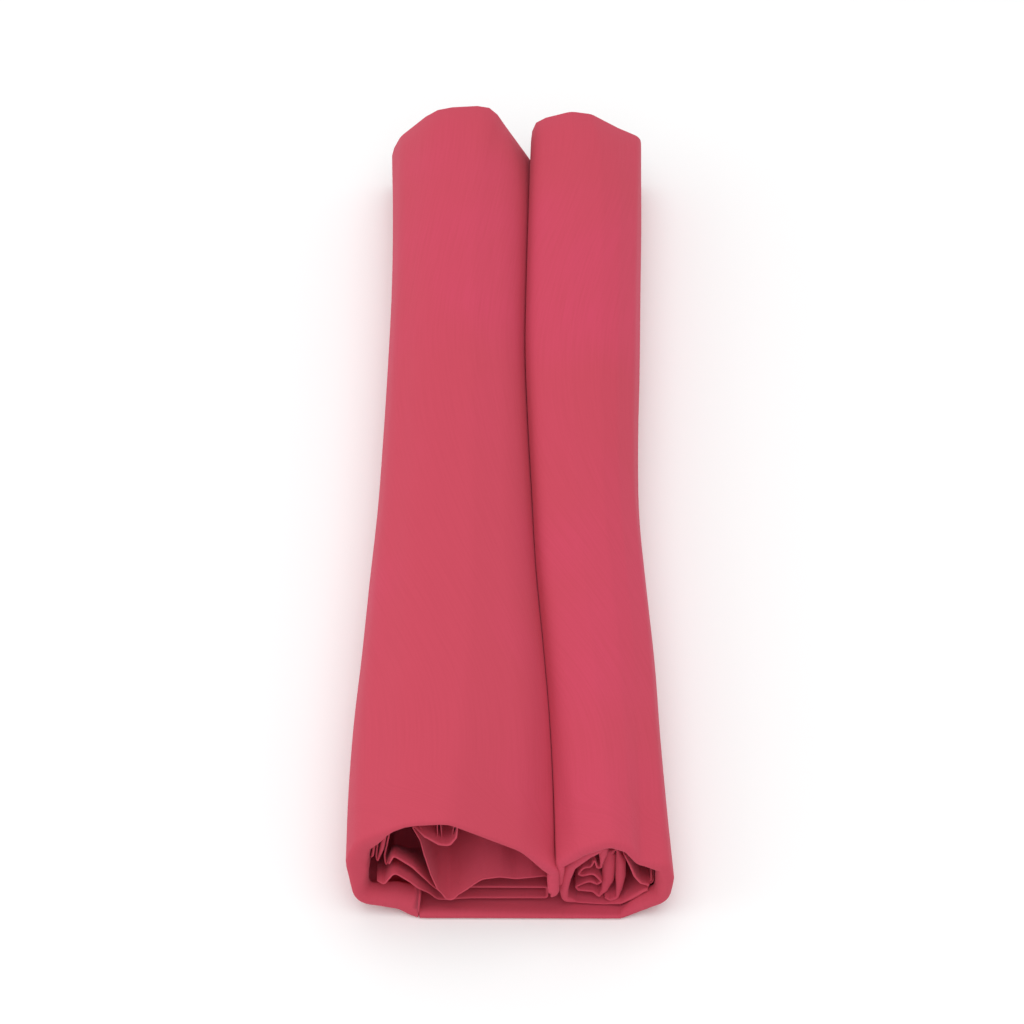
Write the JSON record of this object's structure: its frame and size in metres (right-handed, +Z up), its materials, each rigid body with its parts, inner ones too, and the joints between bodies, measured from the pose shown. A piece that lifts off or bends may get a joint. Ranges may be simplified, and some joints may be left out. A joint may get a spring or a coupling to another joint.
{
  "type": "rolled turban cloth",
  "caption": "Long turban cloth, folded to a strip and rolled from both ends to the middle, so that two soft rolls lie side by side.",
  "frame": {"origin": "on the surface that the cloth lies on, under the middle of its box", "axes": "+X across the two rolls towards the smaller one, +Y along the rolls towards the far end, +Z up"},
  "size_m": [0.1518, 0.5018, 0.0614],
  "materials": {
    "cotton_cloth": "matt rose red plain-weave cotton voile, soft and slightly fuzzy"
  },
  "bodies": {
    "root": {"turban_cloth": "cotton_cloth"}
  },
  "joints": []
}
